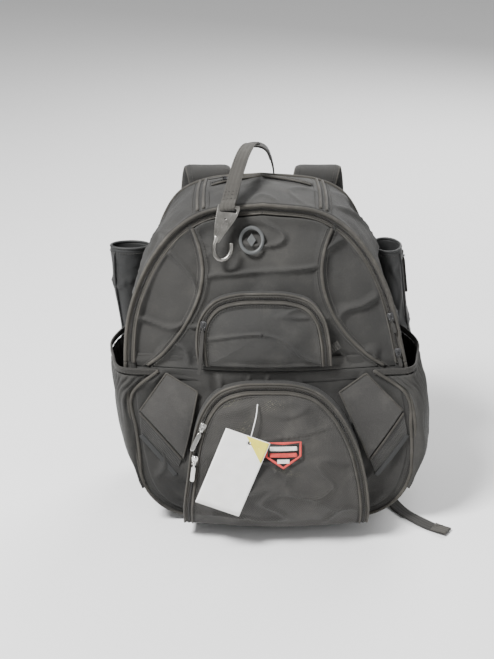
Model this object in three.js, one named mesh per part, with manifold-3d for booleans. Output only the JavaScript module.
// A racket backpack that stands on its base: sewn shell, front flap with two zip pockets, two racket sleeves,
// two bottle pockets, shoulder straps, haul loop, and a strap with a fence hook.
// Millimetres, +Z up, the front faces -Y. The origin is the middle of the flat base.
import * as THREE from "three";
import { mergeVertices } from "three/addons/utils/BufferGeometryUtils.js";
import Module from "manifold-3d";

// ---- Driving dimensions ----
const WALL = 4; // gusset and front panel thickness
const GAP = 0.5; // clearance between touching pieces
const BACK_Y = 90; // outer plane of the back edge
const SLOUCH = -20; // how far the top of the empty bag leans to one side
const CROWN = 17; // how far the front bows out at its middle
const HINGE_Z = 237; // fold line of the front flap
const ZIP_INSET = [5.4, 14.4]; // main zip, measured in from the outline
const ZIP_MIDDLE = 8.7; // line of its teeth
const PANEL_INSET = 15.4; // front panels, measured in from the outline
const WEBBING = 20; // width of every strap of webbing

// Half outlines of the front and back edges, from the middle of the base to the middle of the top: [x, z].
const FRONT_OUTLINE = [
  [0, 0], [105, 0], [150, 16], [180, 52], [193, 100], [196, 150], [194, 205],
  [188, 262], [180, 306], [167, 344], [146, 382], [116, 415], [76, 437], [0, 446],
];
const BACK_OUTLINE = [
  [0, 0], [105, 0], [146, 14], [170, 50], [177, 100], [176, 150], [172, 205],
  [164, 265], [157, 312], [149, 352], [137, 392], [114, 427], [78, 445], [0, 453],
];
// Depth of the front edge against height: [z, y].
const FRONT_DEPTH = [[0, -86], [50, -96], [150, -93], [226, -80], [300, -58], [372, -36], [446, -12]];
// The curved seam that divides the front panel: [z, half width].
const CURVED_SEAM = [[236, 162], [258, 134], [291, 105], [327, 86], [360, 79], [390, 83], [424, 97]];

// ---- Small mathematics ----
const lerp = (a, b, t) => a + (b - a) * t;
const degrees = THREE.MathUtils.degToRad;
const clamp = (v, low, high) => Math.min(high, Math.max(low, v));
const smooth = (t) => {
  const c = clamp(t, 0, 1);
  return c * c * (3 - 2 * c);
};

// A smooth function through [argument, value] pairs.
function profile(pairs) {
  const slope = pairs.map((p, i) => {
    const a = pairs[Math.max(i - 1, 0)];
    const b = pairs[Math.min(i + 1, pairs.length - 1)];
    return (b[1] - a[1]) / (b[0] - a[0]);
  });
  return (v) => {
    const x = clamp(v, pairs[0][0], pairs[pairs.length - 1][0]);
    const found = pairs.findIndex((p) => p[0] >= x);
    const i = Math.max(1, found);
    const [x0, y0] = pairs[i - 1];
    const [x1, y1] = pairs[i];
    const h = x1 - x0;
    const t = (x - x0) / h;
    const t2 = t * t;
    const t3 = t2 * t;
    return (2 * t3 - 3 * t2 + 1) * y0 + (t3 - 2 * t2 + t) * h * slope[i - 1]
      + (3 * t2 - 2 * t3) * y1 + (t3 - t2) * h * slope[i];
  };
}

// Points at equal steps along a smooth curve through [x, z] points.
function sampled(points, steps) {
  const curve = new THREE.CatmullRomCurve3(points.map(([x, z]) => new THREE.Vector3(x, 0, z)), false, "centripetal");
  curve.arcLengthDivisions = 800;
  return curve.getSpacedPoints(steps).map((p) => [p.x, Math.max(p.z, 0)]); // nothing dips below the flat base
}

const OUTLINE_STEPS = 240;
const frontLine = sampled(FRONT_OUTLINE, OUTLINE_STEPS);
const backLine = sampled(BACK_OUTLINE, OUTLINE_STEPS);
const frontDepth = profile(FRONT_DEPTH);
const seamWidth = profile(CURVED_SEAM);
const slouch = (z) => SLOUCH * smooth((z - 90) / 220);

// A point on a sampled line at a share s of its length, with the unit normal that points out of the bag.
function at(line, s) {
  const f = clamp(s, 0, 1) * (line.length - 1);
  const i = Math.min(Math.floor(f), line.length - 2);
  const [x0, z0] = line[i];
  const [x1, z1] = line[i + 1];
  const length = Math.hypot(x1 - x0, z1 - z0);
  return { x: lerp(x0, x1, f - i), z: lerp(z0, z1, f - i), nx: (z1 - z0) / length, nz: -(x1 - x0) / length };
}

// Half width of an outline at a height.
function halfWidth(line, z) {
  const start = line.findIndex(([, lz]) => lz > 0.01);
  for (let i = start; i < line.length; i++) {
    if (line[i][1] >= z) {
      const [x0, z0] = line[i - 1];
      const [x1, z1] = line[i];
      return lerp(x0, x1, (z - z0) / (z1 - z0));
    }
  }
  return 0;
}

// Outer face of the front panels; x is measured from the slouched middle.
function frontFace(x, z) {
  const share = clamp(x / Math.max(halfWidth(frontLine, z), 1), -1, 1);
  const fade = smooth((446 - z) / 110) * smooth((z + 20) / 60);
  return frontDepth(z) - CROWN * (1 - share * share) ** 2 * fade;
}

// Outer face of the side gusset, as a half width at a depth and height.
function sideFace(y, z) {
  const depth = clamp((y - frontDepth(z)) / (BACK_Y - frontDepth(z)), 0, 1);
  return lerp(halfWidth(frontLine, z), halfWidth(backLine, z), depth) + 5 * Math.sin(Math.PI * depth);
}

// ---- Geometry builders ----
// A geometry from a list of triangles, each three [x, y, z] points, with its faces turned outwards.
function solid(triangles) {
  const volume = triangles.reduce((sum, [a, b, c]) => sum
    + a[0] * (b[1] * c[2] - b[2] * c[1])
    - a[1] * (b[0] * c[2] - b[2] * c[0])
    + a[2] * (b[0] * c[1] - b[1] * c[0]), 0);
  const facing = volume < 0 ? triangles.map(([a, b, c]) => [a, c, b]) : triangles;
  const geometry = new THREE.BufferGeometry();
  geometry.setAttribute("position", new THREE.Float32BufferAttribute(facing.flat(2), 3));
  const merged = mergeVertices(geometry, 1e-3);
  const index = [];
  for (let i = 0; i < merged.index.count; i += 3) {
    const [a, b, c] = [0, 1, 2].map((k) => merged.index.getX(i + k));
    if (a !== b && b !== c && a !== c) index.push(a, b, c);
  }
  merged.setIndex(index);
  merged.computeVertexNormals();
  return merged;
}

function quad(triangles, a, b, c, d) {
  triangles.push([a, b, c], [a, c, d]);
}

// A closed slab between two faces, each a function of u and v from 0 to 1. round joins u = 1 to u = 0.
function slab(stepsU, stepsV, outer, inner, round = false) {
  const triangles = [];
  const grid = (face) => Array.from({ length: stepsU + 1 }, (_, i) => Array.from({ length: stepsV + 1 }, (_, j) =>
    face(round && i === stepsU ? 0 : i / stepsU, j / stepsV)));
  const top = grid(outer);
  const under = grid(inner);
  for (let i = 0; i < stepsU; i++) {
    for (let j = 0; j < stepsV; j++) {
      quad(triangles, top[i][j], top[i + 1][j], top[i + 1][j + 1], top[i][j + 1]);
      quad(triangles, under[i][j], under[i][j + 1], under[i + 1][j + 1], under[i + 1][j]);
    }
    quad(triangles, under[i][0], under[i + 1][0], top[i + 1][0], top[i][0]);
    quad(triangles, top[i][stepsV], top[i + 1][stepsV], under[i + 1][stepsV], under[i][stepsV]);
  }
  if (!round) {
    for (let j = 0; j < stepsV; j++) {
      quad(triangles, top[0][j], top[0][j + 1], under[0][j + 1], under[0][j]);
      quad(triangles, under[stepsU][j], under[stepsU][j + 1], top[stepsU][j + 1], top[stepsU][j]);
    }
  }
  return solid(triangles);
}

// A slab inside a closed outline of [x, z] points, as rings that shrink to its middle.
function disc(outline, rings, outerY, innerY, centre) {
  const point = (t, r, depth) => {
    const [ox, oz] = outline[Math.round(t * outline.length) % outline.length];
    const x = lerp(centre[0], ox, r);
    const z = lerp(centre[1], oz, r);
    return [x + slouch(z), depth(x, z, r), z];
  };
  return slab(outline.length, rings, (u, v) => point(u, v, outerY), (u, v) => point(u, v, innerY), true);
}

// Each point of a closed or open outline moved towards its inside.
function inset(outline, distance, closed = true) {
  const n = outline.length;
  return outline.map(([x, z], i) => {
    const before = outline[closed ? (i + n - 1) % n : Math.max(i - 1, 0)];
    const after = outline[closed ? (i + 1) % n : Math.min(i + 1, n - 1)];
    const length = Math.hypot(after[0] - before[0], after[1] - before[1]);
    return [x - ((after[1] - before[1]) / length) * distance, z + ((after[0] - before[0]) / length) * distance];
  });
}

// A flat strap along points, with its width along side(i) and its thickness across both.
function strap(points, width, thick, side) {
  const curve = new THREE.CatmullRomCurve3(points.map((p) => new THREE.Vector3(...p)), false, "centripetal");
  const steps = points.length * 2;
  const line = curve.getSpacedPoints(steps);
  const face = (offset) => (u, v) => {
    const i = Math.round(v * steps);
    const along = new THREE.Vector3().subVectors(line[Math.min(i + 1, steps)], line[Math.max(i - 1, 0)]).normalize();
    const across = new THREE.Vector3(...side(v)).normalize();
    const normal = new THREE.Vector3().crossVectors(across, along).normalize();
    const level = new THREE.Vector3().crossVectors(along, normal).normalize();
    const w = typeof width === "function" ? width(v) : width;
    return line[i].clone().addScaledVector(level, (u - 0.5) * w).addScaledVector(normal, offset).toArray();
  };
  return slab(1, steps, face(thick / 2), face(-thick / 2));
}

// A plate cut from a shape in its own XY plane, centred on its thickness.
function plate(shape, thick, curveSegments = 6) {
  const geometry = new THREE.ExtrudeGeometry(shape, { depth: thick, bevelEnabled: false, curveSegments });
  return geometry.translate(0, 0, -thick / 2);
}

function roundedRectangle(width, height, radius) {
  const shape = new THREE.Shape();
  const [x, y] = [width / 2 - radius, height / 2 - radius];
  shape.absarc(x, y, radius, 0, Math.PI / 2);
  shape.absarc(-x, y, radius, Math.PI / 2, Math.PI);
  shape.absarc(-x, -y, radius, Math.PI, 1.5 * Math.PI);
  shape.absarc(x, -y, radius, 1.5 * Math.PI, 2 * Math.PI);
  return shape;
}

function rectangularHole(x, y, width, height) {
  const hole = new THREE.Path();
  hole.moveTo(x - width / 2, y - height / 2);
  hole.lineTo(x - width / 2, y + height / 2);
  hole.lineTo(x + width / 2, y + height / 2);
  hole.lineTo(x + width / 2, y - height / 2);
  hole.closePath();
  return hole;
}

const wasm = await Module();
wasm.setup();
// Several geometries joined into one closed body.
function joined(...geometries) {
  const made = geometries.map((geometry) => {
    const bare = geometry.index ? geometry.toNonIndexed() : geometry.clone();
    bare.deleteAttribute("normal");
    bare.deleteAttribute("uv");
    const merged = mergeVertices(bare, 1e-3);
    const triVerts = new Uint32Array(merged.index.array);
    return new wasm.Manifold(new wasm.Mesh({ numProp: 3, vertProperties: merged.attributes.position.array, triVerts }));
  });
  const mesh = made.reduce((a, b) => a.add(b)).getMesh();
  const geometry = new THREE.BufferGeometry();
  geometry.setAttribute("position", new THREE.BufferAttribute(mesh.vertProperties, 3));
  geometry.setIndex(new THREE.BufferAttribute(mesh.triVerts, 1));
  geometry.computeVertexNormals();
  return geometry;
}

function roundHole(x, y, radius, sides = 8) {
  const corners = Array.from({ length: sides }, (_, i) => (-2 * Math.PI * i) / sides);
  return new THREE.Path(corners.map((a) => new THREE.Vector2(x + radius * Math.cos(a), y + radius * Math.sin(a))));
}

// ---- Materials ----
const material = (color, roughness, metalness = 0) => new THREE.MeshStandardMaterial({ color, roughness, metalness });
const CANVAS = material(0x2b2b2a, 0.85);
const RIPSTOP = material(0x333332, 0.75);
const NEOPRENE = material(0x1b1d1d, 0.7);
const MESH = material(0x3a3a38, 0.8);
const TAPE = material(0x24221f, 0.8);
const STRAP = material(0x1d1d1c, 0.8);
const FOAM = material(0x242424, 0.9);
const NYLON = material(0x222324, 0.35);
const STEEL = material(0xb8b8b4, 0.25, 1);
const CARD = material(0xf4f2ec, 0.9);
const THREAD = material(0xa02a2a, 0.8);

const pack = new THREE.Group();
function add(name, geometry, mat, parent = pack) {
  const mesh = new THREE.Mesh(geometry, mat);
  mesh.name = name;
  parent.add(mesh);
  return mesh;
}

// ---- Shell: base, sides and top, in one band between the front and back outlines ----
const BASE_SEAM = 0.222; // shares of the half outline where the base and the top meet the sides
const TOP_SEAM = 0.884;
const SEAM_GAP = 0.0008;

function shellPoint(s, depth, inwards) {
  const side = s < 0 ? -1 : 1;
  const f = at(frontLine, Math.abs(s));
  const b = at(backLine, Math.abs(s));
  const nx = lerp(f.nx, b.nx, depth);
  const nz = lerp(f.nz, b.nz, depth);
  const bulge = 5 * Math.sin(Math.PI * depth) * smooth((Math.abs(s) - BASE_SEAM) / 0.1) - inwards;
  const z = lerp(f.z, b.z, depth) + nz * bulge;
  const y = lerp(frontDepth(f.z), BACK_Y, depth);
  return [side * (lerp(f.x, b.x, depth) + nx * bulge) + slouch(z), y, z];
}

function shellBand(from, to, stepsAlong, stepsDeep) {
  const face = (inwards) => (u, v) => shellPoint(lerp(from, to, u), v, inwards);
  return slab(stepsAlong, stepsDeep, face(0), face(WALL));
}

add("base_panel", shellBand(-BASE_SEAM, BASE_SEAM, 12, 3), CANVAS);
add("right_gusset", shellBand(BASE_SEAM + SEAM_GAP, TOP_SEAM - SEAM_GAP, 20, 3), CANVAS);
add("left_gusset", shellBand(-TOP_SEAM + SEAM_GAP, -BASE_SEAM - SEAM_GAP, 20, 3), CANVAS);
// The top panel is the same band taken through the middle of the top.
const topShare = (u) => (u < 0.5 ? lerp(TOP_SEAM, 1, u * 2) : -lerp(1, TOP_SEAM, u * 2 - 1));
add("top_panel", slab(10, 3, (u, v) => shellPoint(topShare(u), v, 0), (u, v) => shellPoint(topShare(u), v, WALL)), CANVAS);

// A closed outline, anticlockwise from the middle of the base, taken from a half outline.
function closedOutline(line, steps) {
  const right = Array.from({ length: steps }, (_, i) => at(line, i / steps)).map((p) => [p.x, p.z]);
  const left = Array.from({ length: steps }, (_, i) => at(line, 1 - i / steps)).map((p) => [-p.x, p.z]);
  return [...right, ...left];
}

const backOutline = inset(closedOutline(backLine, 18), WALL + 1.4);
add("back_panel", disc(backOutline, 1, () => BACK_Y + 2, () => BACK_Y - 6, [0, 220]), FOAM);

// Two raised pads on the back panel.
function backPad(x, z, width, height) {
  const shape = roundedRectangle(width, height, 18);
  const pad = plate(shape, 9, 3);
  pad.rotateX(Math.PI / 2);
  return pad.translate(x + slouch(z), BACK_Y + 2 + GAP + 4.5, z);
}
add("back_pad_left", backPad(-58, 268, 88, 210), MESH);
add("back_pad_right", backPad(58, 268, 88, 210), MESH);

// ---- Front: lower panel, hinged flap, seams ----
const frontPanelDepth = (x, z) => frontFace(x, z);
const frontPanelBack = (x, z) => frontFace(x, z) + WALL;
const LOWER_TOP_Z = HINGE_Z - 1.5;
const FLAP_BOTTOM_Z = HINGE_Z + 1.5;
const panelLine = inset(frontLine, PANEL_INSET, false);
const panelWidth = (z) => halfWidth(panelLine, z);

function acrossPanel(lowZ, highZ, fromX, toX, stepsX, stepsZ, outerY = frontPanelDepth, innerY = frontPanelBack) {
  const face = (depth) => (u, v) => {
    const z = lerp(lowZ(u), highZ(u), v);
    const x = lerp(fromX(z), toX(z), u);
    return [x + slouch(z), depth(x, z), z];
  };
  return slab(stepsX, stepsZ, face(outerY), face(innerY));
}

add("lower_front_panel", acrossPanel(() => PANEL_INSET + 1, () => LOWER_TOP_Z, (z) => -panelWidth(z), panelWidth, 10, 6), CANVAS);

const SEAM_HALF = 2.6; // half the gap that the curved piping fills
// Height of the flap's top edge above the curved seam's own top, so that the middle panel follows the arch.
const archHeight = (x) => {
  const inner = panelLine.filter(([px, pz]) => pz > 300 && px >= 0);
  for (let i = 1; i < inner.length; i++) {
    if (inner[i][0] <= Math.abs(x)) {
      const [x0, z0] = inner[i - 1];
      const [x1, z1] = inner[i];
      return lerp(z0, z1, (Math.abs(x) - x0) / (x1 - x0));
    }
  }
  return inner[inner.length - 1][1];
};
const SEAM_TOP_Z = 409;
const middleEdge = (z) => Math.min(seamWidth(Math.min(z, SEAM_TOP_Z)) - SEAM_HALF, 150);
const middleTop = (u) => archHeight((u * 2 - 1) * middleEdge(SEAM_TOP_Z));
add("flap_middle_panel",
  acrossPanel(() => FLAP_BOTTOM_Z, middleTop, (z) => -middleEdge(z), middleEdge, 8, 7), RIPSTOP);
for (const [side, name] of [[-1, "left"], [1, "right"]]) {
  const near = (z) => side * (seamWidth(z) + SEAM_HALF);
  const far = (z) => side * Math.max(panelWidth(z), seamWidth(z) + SEAM_HALF + 2);
  add(`flap_side_panel_${name}`, acrossPanel(() => FLAP_BOTTOM_Z, () => SEAM_TOP_Z - 2, near, far, 3, 7), CANVAS);
  const pipingFace = (width) => (u, v) => {
    const z = lerp(FLAP_BOTTOM_Z + 1, SEAM_TOP_Z - 4, v);
    const angle = 2 * Math.PI * u;
    const x = seamWidth(z) + width * Math.cos(angle);
    return [side * x + slouch(z), frontFace(seamWidth(z), z) + 0.5 + width * Math.sin(angle), z];
  };
  add(`flap_piping_${name}`, slab(5, 8, pipingFace(2), pipingFace(0.7), true), TAPE);
}
// A band along the front outline, between two insets.
function edgeBand(from, to, steps, insets, thick) {
  const point = (s, distance, depth) => {
    const side = s < 0 ? -1 : 1;
    const p = at(frontLine, Math.abs(s));
    const z = p.z - p.nz * distance;
    return [side * (p.x - p.nx * distance) + slouch(z), frontDepth(p.z) + depth, z];
  };
  const share = (u) => {
    const s = lerp(from, to, u);
    return s > 1 ? s - 2 : s;
  };
  return slab(steps, 1, (u, v) => point(share(u), lerp(insets[0], insets[1], v), 0),
    (u, v) => point(share(u), lerp(insets[0], insets[1], v), thick));
}
// Share of the half outline at a height on the side.
const shareAt = (z) => frontLine.findIndex(([, lz]) => lz >= z) / OUTLINE_STEPS;
const ZIP_END = shareAt(HINGE_Z + 8);
add("main_zip", edgeBand(ZIP_END, 2 - ZIP_END, 40, ZIP_INSET, 2.4), TAPE);
const lowerEdge = (u, v, depth) => {
  const s = lerp(-ZIP_END + 0.006, ZIP_END - 0.006, u);
  const side = s < 0 ? -1 : 1;
  const p = at(frontLine, Math.abs(s));
  const distance = lerp(WALL + 1.6, PANEL_INSET - 6, v);
  return [side * (p.x - p.nx * distance) + slouch(p.z), frontDepth(p.z) + depth, p.z - p.nz * distance];
};
add("edge_piping", slab(40, 1, (u, v) => lowerEdge(u, v, -2), (u, v) => lowerEdge(u, v, 2)), TAPE);

// ---- Zip pockets on the front: wall, zip and domed cover ----
// arch lists the half arch from the top middle to the bottom corner; depth is how far the wall stands out, by height.
function pocket(name, arch, depth, dome, parent) {
  const half = sampled(arch, 10);
  const full = [...half.slice(1).reverse().map(([x, z]) => [-x, z]), ...half];
  // Runs from the left corner over the top to the right corner; inside is to the right of the direction of travel.
  const line = (distance) => inset(full, -distance, false);
  const face = (distance, y) => (u, v) => {
    const points = line(lerp(distance[0], distance[1], v));
    const [x, z] = points[Math.round(u * (points.length - 1))];
    return [x + slouch(z), y(x, z), z];
  };
  const steps = full.length - 1;
  const base = (x, z) => frontFace(x, z) - 2 * GAP;
  const front = (x, z) => frontFace(x, z) - depth(z);
  add(`${name}_wall`, slab(steps, 1, face([0, 2.5], front), face([0, 2.5], base)), CANVAS, parent);
  add(`${name}_zip`, slab(steps, 1, face([3, 10], (x, z) => front(x, z)), face([3, 10], (x, z) => front(x, z) + 2)), TAPE, parent);
  const inner = line(10.8);
  const [cornerX, cornerZ] = inner[inner.length - 1];
  const bottom = Array.from({ length: 7 }, (_, i) => [lerp(cornerX, -cornerX, (i + 1) / 8), cornerZ]);
  const outline = [...inner, ...bottom].reverse();
  const centre = [0, (half[0][1] + cornerZ) / 2];
  const coverY = (x, z, r) => front(x, z) - dome * (1 - r * r);
  add(`${name}_cover`, disc(outline, 3, coverY, (x, z, r) => coverY(x, z, r) + 2.5, centre), RIPSTOP, parent);
  // Middle of the zip tape on the left, at a height.
  const zipMiddle = (z) => {
    const left = line(6.5).filter(([x]) => x < 0);
    const i = Math.max(1, left.findIndex(([, lz]) => lz >= z));
    const x = lerp(left[i - 1][0], left[i][0], (z - left[i - 1][1]) / (left[i][1] - left[i - 1][1]));
    return [x + slouch(z), front(x, z), z];
  };
  return { coverY, zipMiddle };
}
const UPPER_ARCH = [[0, 341], [34, 339], [64, 329], [82, 307], [88, 278], [88, 246]];
const LOWER_ARCH = [[0, 226], [36, 224], [68, 213], [92, 188], [109, 150], [119, 104], [125, 58], [126, 22]];
const upperDepth = profile([[240, 5], [265, 12], [310, 13], [341, 9]]);
const lowerDepth = profile([[20, 34], [70, 44], [130, 38], [185, 24], [226, 10]]);
const upperPocket = pocket("upper_pocket", UPPER_ARCH, upperDepth, 9, pack);
const lowerPocket = pocket("lower_pocket", LOWER_ARCH, lowerDepth, 10, pack);

// Slanting wing panels and the mesh vents below them, laid over the lower front panel.
function overlay(corners, thick, lift, stepsU, stepsV) {
  const face = (extra) => (u, v) => {
    const [a, b, c, d] = corners;
    const x = lerp(lerp(a[0], b[0], u), lerp(d[0], c[0], u), v);
    const z = lerp(lerp(a[1], b[1], u), lerp(d[1], c[1], u), v);
    return [x + slouch(z), frontFace(x, z) - lift - extra, z];
  };
  return slab(stepsU, stepsV, face(thick), face(0));
}
const WING = [[95, 208], [134, 231], [178, 178], [127, 110]];
const VENT = [[129, 107], [179, 174], [182, 142], [138, 82]];
for (const [side, name] of [[-1, "left"], [1, "right"]]) {
  const mirrored = (corners) => corners.map(([x, z]) => [side * x, z]);
  add(`wing_panel_${name}`, overlay(mirrored(WING), 2, GAP, 5, 5), RIPSTOP);
  add(`mesh_vent_${name}`, overlay(mirrored(VENT), 1.2, GAP, 5, 2), MESH);
}

// ---- Racket sleeves: open-topped tubes on the sides, behind the bottle pockets ----
const SLEEVE_TOP = 358;
const SLEEVE_FLOOR = 34;
const SLEEVE_Y = 62;
const SLEEVE_WALL = 2.5;
const SLEEVE_ZIP_ANGLE = degrees(38); // from straight outwards towards the back
// Stations of each sleeve: [z, distance from the side to the tube's middle, half width, half depth].
const RIGHT_SLEEVE = [[34, 18, 14, 20], [120, 18, 15, 23], [225, 19, 17, 27], [358, 23, 21, 28]];
const LEFT_SLEEVE = [[34, 18, 14, 20], [120, 18, 15, 22], [225, 17, 15, 21], [358, 31, 28, 16]];
function sleeveSurface(side, stations, z, angle, inwards) {
  const [out, wide, deep] = [1, 2, 3].map((k) => profile(stations.map((s) => [s[0], s[k]]))(z));
  const x = sideFace(SLEEVE_Y, z) + out + (wide - inwards) * Math.cos(angle);
  return [side * x + slouch(z), SLEEVE_Y + (deep - inwards) * Math.sin(angle), z];
}
// An open-topped tube with a floor.
function sleeve(side, stations) {
  const steps = 16;
  const rows = 6;
  const triangles = [];
  const point = (i, j, inwards) => sleeveSurface(side, stations,
    lerp(SLEEVE_FLOOR + (inwards > 0 ? SLEEVE_WALL : 0), SLEEVE_TOP, j / rows), (2 * Math.PI * (i % steps)) / steps, inwards);
  for (let i = 0; i < steps; i++) {
    for (let j = 0; j < rows; j++) {
      quad(triangles, point(i, j, 0), point(i + 1, j, 0), point(i + 1, j + 1, 0), point(i, j + 1, 0));
      quad(triangles, point(i, j, SLEEVE_WALL), point(i, j + 1, SLEEVE_WALL),
        point(i + 1, j + 1, SLEEVE_WALL), point(i + 1, j, SLEEVE_WALL));
    }
    quad(triangles, point(i, rows, 0), point(i + 1, rows, 0), point(i + 1, rows, SLEEVE_WALL), point(i, rows, SLEEVE_WALL));
    if (i > 0 && i < steps - 1) {
      triangles.push([point(0, 0, 0), point(i + 1, 0, 0), point(i, 0, 0)]);
      triangles.push([point(0, 0, SLEEVE_WALL), point(i, 0, SLEEVE_WALL), point(i + 1, 0, SLEEVE_WALL)]);
    }
  }
  return solid(triangles);
}
add("racket_sleeve_right", sleeve(1, RIGHT_SLEEVE), NEOPRENE);
add("racket_sleeve_left", sleeve(-1, LEFT_SLEEVE), NEOPRENE);

// ---- Bottle pockets: stretch pouches that wrap from the front corner to the sleeve, with an elastic rim ----
const BOTTLE_BACK_Y = 33;
const BOTTLE_FLOOR = 60;
const BOTTLE_BULGE = 26;
const bottleRim = (u) => lerp(233, 256, u); // the rim climbs towards the back
const bottleSeam = profile([[150, 186], [200, 184], [233, 143]]); // front edge, as a half width, against height
function bottlePoint(side, u, v, out) {
  const z = lerp(BOTTLE_FLOOR, bottleRim(u), v);
  const bulge = BOTTLE_BULGE * smooth(v * 2.4) * (1 - 0.12 * v);
  const edge = halfWidth(frontLine, z);
  const seam = Math.min(bottleSeam(z), edge - 4);
  const lift = GAP + 1.3;
  const y = frontDepth(z);
  const along = (dy, share) => new THREE.Vector2(sideFace(dy, z) + lift + bulge * share, dy);
  const curve = new THREE.SplineCurve([
    new THREE.Vector2(seam, frontFace(seam, z) - lift - 2), new THREE.Vector2(edge + lift + bulge * 0.12, y - 6),
    along(y + 24, 0.68), along(-20, 1), along(14, 0.62), along(BOTTLE_BACK_Y, 0),
  ]);
  const p = curve.getPoint(u);
  const t = curve.getTangent(u);
  return [side * (p.x + t.y * out) + slouch(z), p.y - t.x * out, z];
}
const RIM_BAND = 0.045; // the elastic's share of the pouch's height
for (const [side, name] of [[-1, "left"], [1, "right"]]) {
  const face = (low, high, out) => (u, v) => bottlePoint(side, u, lerp(low, high, v), out);
  add(`bottle_pocket_${name}`, slab(12, 5, face(0, 1 - RIM_BAND, 2), face(0, 1 - RIM_BAND, 0)), MESH);
  add(`bottle_rim_${name}`, slab(12, 1, face(1 - RIM_BAND + 0.003, 1, 3), face(1 - RIM_BAND + 0.003, 1, -0.3)), STRAP);
}

// ---- Haul loop and hook strap at the top of the back ----
const HAUL_FEET = [-57, -1]; // where the haul loop's two ends are sewn down
const HAUL_TOP = 492;
const haulMiddle = (HAUL_FEET[0] + HAUL_FEET[1]) / 2;
const haulPath = [[HAUL_FEET[0], 104, 430], [HAUL_FEET[0] + 3, 104, 462], [haulMiddle - 15, 104, HAUL_TOP - 5],
  [haulMiddle, 104, HAUL_TOP], [haulMiddle + 15, 104, HAUL_TOP - 5], [HAUL_FEET[1] - 3, 104, 462], [HAUL_FEET[1], 104, 430]];
add("haul_loop", strap(haulPath, WEBBING, 2.4, () => [0, 1, 0]), STRAP);

const HOOK_AT = new THREE.Vector3(-64, -31, 447); // middle of the bar that the strap wraps round
const HOOK_LEAN = degrees(-22); // the hook lies back along the flap
const HOOK_TURN = degrees(6);
const BAR_RADIUS = 2; // of the hook's bar
const LOOP_RADII = [2.9, 4.7]; // of the strap's sewn loop round the bar
const hookFrame = new THREE.Matrix4().makeRotationFromEuler(new THREE.Euler(HOOK_LEAN, HOOK_TURN, 0, "YXZ"))
  .setPosition(HOOK_AT);

// The strap is sewn to the front edge of the haul loop, arcs over the top and ends in the loop round the hook's bar.
function hookStrap() {
  const middleRadius = (LOOP_RADII[0] + LOOP_RADII[1]) / 2;
  const path = [[-31, 92.5, HAUL_TOP + 2], [-33, 82, HAUL_TOP + 8], [-39, 60, HAUL_TOP + 10], [-46, 36, 496], [-54, 8, 480],
    [HOOK_AT.x + 1, HOOK_AT.y + 7, HOOK_AT.z + 9], [HOOK_AT.x, HOOK_AT.y + middleRadius * 0.7, HOOK_AT.z + middleRadius * 0.7]];
  const loop = new THREE.Shape();
  loop.absarc(0, 0, LOOP_RADII[1], 0, 2 * Math.PI, false);
  const hole = new THREE.Path();
  hole.absarc(0, 0, LOOP_RADII[0], 0, 2 * Math.PI, true);
  loop.holes.push(hole);
  const ring = plate(loop, WEBBING, 7).rotateY(Math.PI / 2).applyMatrix4(hookFrame);
  return joined(strap(path, WEBBING - 0.4, 1.8, () => [1, 0, 0.1]), ring);
}
add("hook_strap", hookStrap(), STRAP);

// A slotted head, a tapering stem and a round-section J.
function fenceHook() {
  const head = new THREE.Shape();
  head.moveTo(-14, 2);
  head.lineTo(14, 2);
  head.lineTo(15, -2);
  head.bezierCurveTo(14, -16, 0, -30, -8, -48); // right edge of the stem
  head.lineTo(-15, -47);
  head.bezierCurveTo(-17, -30, -16, -14, -14, 2);
  const slotted = new THREE.Shape(head.getPoints(5).slice(0, -1).reverse());
  slotted.holes.push(rectangularHole(0, -4.6, 21.4, 5.2), roundHole(-3, -16, 1.2));
  const throat = new THREE.CatmullRomCurve3([[-12, -40], [-14, -54], [-11.5, -65], [-4, -70], [4.5, -66.5], [8.5, -57], [8, -47]]
    .map(([x, y]) => new THREE.Vector3(x, y, 0)));
  const section = new THREE.Shape();
  section.absarc(0, 0, 3, 0, 2 * Math.PI, false);
  const rod = new THREE.ExtrudeGeometry(section, { extrudePath: throat, steps: 18, curveSegments: 4, bevelEnabled: false });
  return joined(plate(slotted, 3.6), rod).rotateX(Math.PI / 2).applyMatrix4(hookFrame);
}
add("fence_hook", fenceHook(), STEEL);

// ---- Zip sliders and their pulls ----
// The frame of a slider: local Z runs up the zip and local -Y points out of the bag. The run between two points of the
// zip is a straight line, lifted clear of the bend between them.
const SLIDER_LIFT = 1;
function zipRun(zipAt, from, to, outwards) {
  const start = new THREE.Vector3(...zipAt(from));
  const along = new THREE.Vector3(...zipAt(to)).sub(start);
  const travel = along.length() * Math.sign(along.z);
  along.divideScalar(travel);
  const out = new THREE.Vector3(...outwards);
  out.addScaledVector(along, -out.dot(along)).normalize();
  const bends = Array.from({ length: 9 }, (_, i) =>
    new THREE.Vector3(...zipAt(lerp(from, to, i / 8))).sub(start).dot(out));
  const frame = new THREE.Group();
  const y = out.clone().negate();
  frame.setRotationFromMatrix(new THREE.Matrix4().makeBasis(new THREE.Vector3().crossVectors(y, along), y, along));
  frame.position.copy(start).addScaledVector(out, Math.max(...bends) + SLIDER_LIFT);
  frame.userData.travel = travel; // millimetres that the slider can run up the zip, or down it when negative
  pack.add(frame);
  return frame;
}
const KNUCKLE = [4, -4]; // out of the zip and up the zip: the axis that the pull turns on
function block(x, y, z, dx, dy, dz) {
  return new THREE.BoxGeometry(dx, dy, dz).translate(x, y, z);
}
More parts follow.
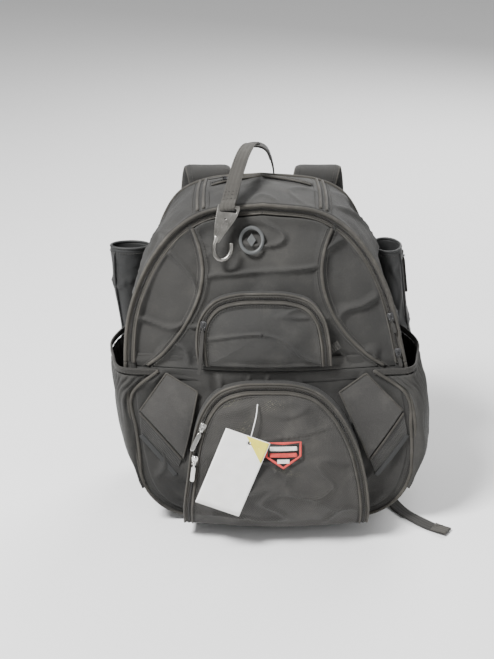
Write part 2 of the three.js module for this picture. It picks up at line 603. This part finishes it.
// A tapered plate with two cheeks that hold the pull's barrel, and the pull itself. Lengths in millimetres.
function sliderAndPull(name, frame, pullWidth, pullLength, metal) {
  const top = new THREE.Shape();
  top.moveTo(-3, -6);
  top.lineTo(3, -6);
  top.lineTo(4.6, 4);
  top.lineTo(3.4, 6);
  top.lineTo(-3.4, 6);
  top.lineTo(-4.6, 4);
  top.closePath();
  const base = plate(top, 1.8).rotateX(Math.PI / 2).translate(0, -0.9, 0);
  const cheeks = [-1, 1].map((s) => block(s * 2.3, -3, KNUCKLE[1], 1.2, 4, 3.4));
  const bridge = block(0, -2.5, 3, 3, 2, 3);
  add(`${name}_slider`, joined(base, ...cheeks, bridge), metal, frame);
  const barrel = new THREE.CylinderGeometry(1.5, 1.5, 2.8, 8).rotateZ(Math.PI / 2);
  const grip = new THREE.Shape();
  const half = pullWidth / 2;
  grip.moveTo(1.3, 0);
  grip.lineTo(-1.3, 0);
  grip.lineTo(-1.3, -3.4);
  grip.lineTo(-half, -6);
  grip.lineTo(-half, half - pullLength);
  grip.absarc(0, half - pullLength, half, Math.PI, 2 * Math.PI, false);
  grip.lineTo(half, -6);
  grip.lineTo(1.3, -3.4);
  grip.closePath();
  const tab = plate(grip, 1.5, 4).rotateX(Math.PI / 2);
  const pull = joined(barrel, tab).translate(0, -KNUCKLE[0], KNUCKLE[1]);
  add(`${name}_pull`, pull, metal === STEEL ? STEEL : NYLON, frame);
}
const FORWARD = [0, -1, 0];
const POCKET_ZIP_OUT = [-0.14, -1, 0]; // the left of a pocket faces a little to the left
// Middle of the main zip on the right, at a height.
const mainZipAt = (z) => {
  const p = at(frontLine, shareAt(z));
  return [p.x - p.nx * ZIP_MIDDLE + slouch(p.z), frontDepth(p.z), p.z - p.nz * ZIP_MIDDLE];
};
sliderAndPull("main_lower", zipRun(mainZipAt, 254, 266, FORWARD), 5, 16, NYLON);
sliderAndPull("main_upper", zipRun(mainZipAt, 302, 336, FORWARD), 5, 18, NYLON);
sliderAndPull("upper_pocket", zipRun(upperPocket.zipMiddle, 300, 268, POCKET_ZIP_OUT), 5, 62, NYLON);

const lowerSlide = (from, to) => zipRun(lowerPocket.zipMiddle, from, to, POCKET_ZIP_OUT);
sliderAndPull("lower_pocket_top", lowerSlide(172, 192), 6, 30, STEEL);
sliderAndPull("lower_pocket_bottom", lowerSlide(130, 106), 6, 26, STEEL);

// Curved zip across the top, near the back, with its slider on the left. It opens the small top pocket.
const topZip = (u, v, out) => shellPoint(topShare(lerp(0.08, 0.92, u)), lerp(0.62, 0.84, Math.sin(Math.PI * u)) + 0.045 * v, -out);
add("top_pocket_zip", slab(14, 1, (u, v) => topZip(u, v, 1.9), (u, v) => topZip(u, v, GAP)), TAPE);
const topZipAt = (u) => topZip(u, 0.5, 1.9);
sliderAndPull("top_pocket", zipRun(topZipAt, 0.84, 0.72, [-0.25, 0, 1]), 5, 24, NYLON);

// Zip down the outer rear edge of the right sleeve, with a long pull.
const sleeveZipAt = (z) => sleeveSurface(1, RIGHT_SLEEVE, z, SLEEVE_ZIP_ANGLE, -2.4);
const sleeveZip = (u, v, out) => sleeveSurface(1, RIGHT_SLEEVE, lerp(170, 350, u), SLEEVE_ZIP_ANGLE + lerp(-0.14, 0.14, v), -out);
add("sleeve_zip", slab(8, 1, (u, v) => sleeveZip(u, v, 2.4), (u, v) => sleeveZip(u, v, GAP + 0.3)), TAPE);
sliderAndPull("sleeve", zipRun(sleeveZipAt, 338, 268, [Math.cos(SLEEVE_ZIP_ANGLE), Math.sin(SLEEVE_ZIP_ANGLE), 0]), 5, 58, NYLON);

// ---- Hang tag on a nylon pin, in front of the lower pocket ----
const TAG_SIZE = [62, 116, 0.5];
const TAG_HOLE = [6, 49]; // from the middle of the card
const TAG_TURN = degrees(21);
const TAG_LEAN = degrees(-5);
const TAG_AT = new THREE.Vector3(-36, -159, 166); // the hole
const card = new THREE.Shape([[-0.5, -0.5], [0.5, -0.5], [0.5, 0.5], [-0.5, 0.5]]
  .map(([x, y]) => new THREE.Vector2(x * TAG_SIZE[0], y * TAG_SIZE[1])));
card.holes.push(roundHole(...TAG_HOLE, 3));
const tagGeometry = plate(card, TAG_SIZE[2]).translate(-TAG_HOLE[0], -TAG_HOLE[1], 0).rotateX(Math.PI / 2);
tagGeometry.rotateY(TAG_TURN).rotateX(TAG_LEAN).translate(...TAG_AT.toArray());
add("hang_tag", tagGeometry, CARD);
const pinTop = new THREE.Vector3(-26, lowerPocket.coverY(-24, 205, 0.8) - 1.2, 205);
const pinEnd = new THREE.Vector3(TAG_AT.x + 1, TAG_AT.y + 4, TAG_AT.z + 5);
const pinCurve = new THREE.LineCurve3(pinTop, pinEnd);
const pinSection = new THREE.Shape(Array.from({ length: 6 }, (_, i) =>
  new THREE.Vector2(0.7 * Math.cos((Math.PI * i) / 3), 0.7 * Math.sin((Math.PI * i) / 3))));
add("tag_pin", new THREE.ExtrudeGeometry(pinSection, { extrudePath: pinCurve, steps: 1, bevelEnabled: false }), CARD);

// ---- Shoulder straps: padded arms behind the back panel, a ladder buckle and webbing down to the base corners ----
const STRAP_OUT = [72, 84, 98]; // distance of each arm from the middle, at its top, middle and end
const ARM_SIDE = [[98, 436], [105, 450], [118, 453], [128, 438], [128, 390], [122, 320], [117, 250], [114, 190]];
function arm(side) {
  const out = profile([[0, STRAP_OUT[0]], [0.5, STRAP_OUT[1]], [1, STRAP_OUT[2]]]);
  const points = ARM_SIDE.map(([y, z], i) => [side * out(i / (ARM_SIDE.length - 1)) + SLOUCH * 0.9, y, z]);
  const width = profile([[0, 60], [0.35, 64], [0.7, 58], [1, 46]]);
  return strap(points, width, 10, () => [1, 0, 0]);
}
const buckleShape = roundedRectangle(30, 24, 3);
buckleShape.holes.push(rectangularHole(0, 5.4, 21.4, 4), rectangularHole(0, -5.4, 21.4, 4));
for (const [side, name] of [[-1, "left"], [1, "right"]]) {
  add(`shoulder_strap_${name}`, arm(side), FOAM);
  const x = side * (STRAP_OUT[2] + 1) + SLOUCH * 0.9;
  add(`ladder_buckle_${name}`, plate(buckleShape, 3, 3).rotateX(Math.PI / 2).translate(x, 113.4, 176), NYLON);
  const webbing = [[x, 112, 159], [x + side * 8, 108, 130], [x + side * 34, 101, 80], [x + side * 46 - SLOUCH * 0.9, 96, 50]];
  add(`strap_webbing_${name}`, strap(webbing, WEBBING, 1.6, () => [1, 0, 0]), STRAP);
}

// Loose tail of the right adjuster webbing, lying on the floor beside the base.
const TAIL_PATH = [[146, 44, 4], [151, 18, 3], [157, -8, 1.6], [168, -42, 1.2], [181, -68, 1.2], [204, -98, 1.2], [240, -124, 1.2]];
add("webbing_tail", strap(TAIL_PATH, WEBBING, 1.6, () => [1, 0.35, 0]), STRAP);

export default pack;
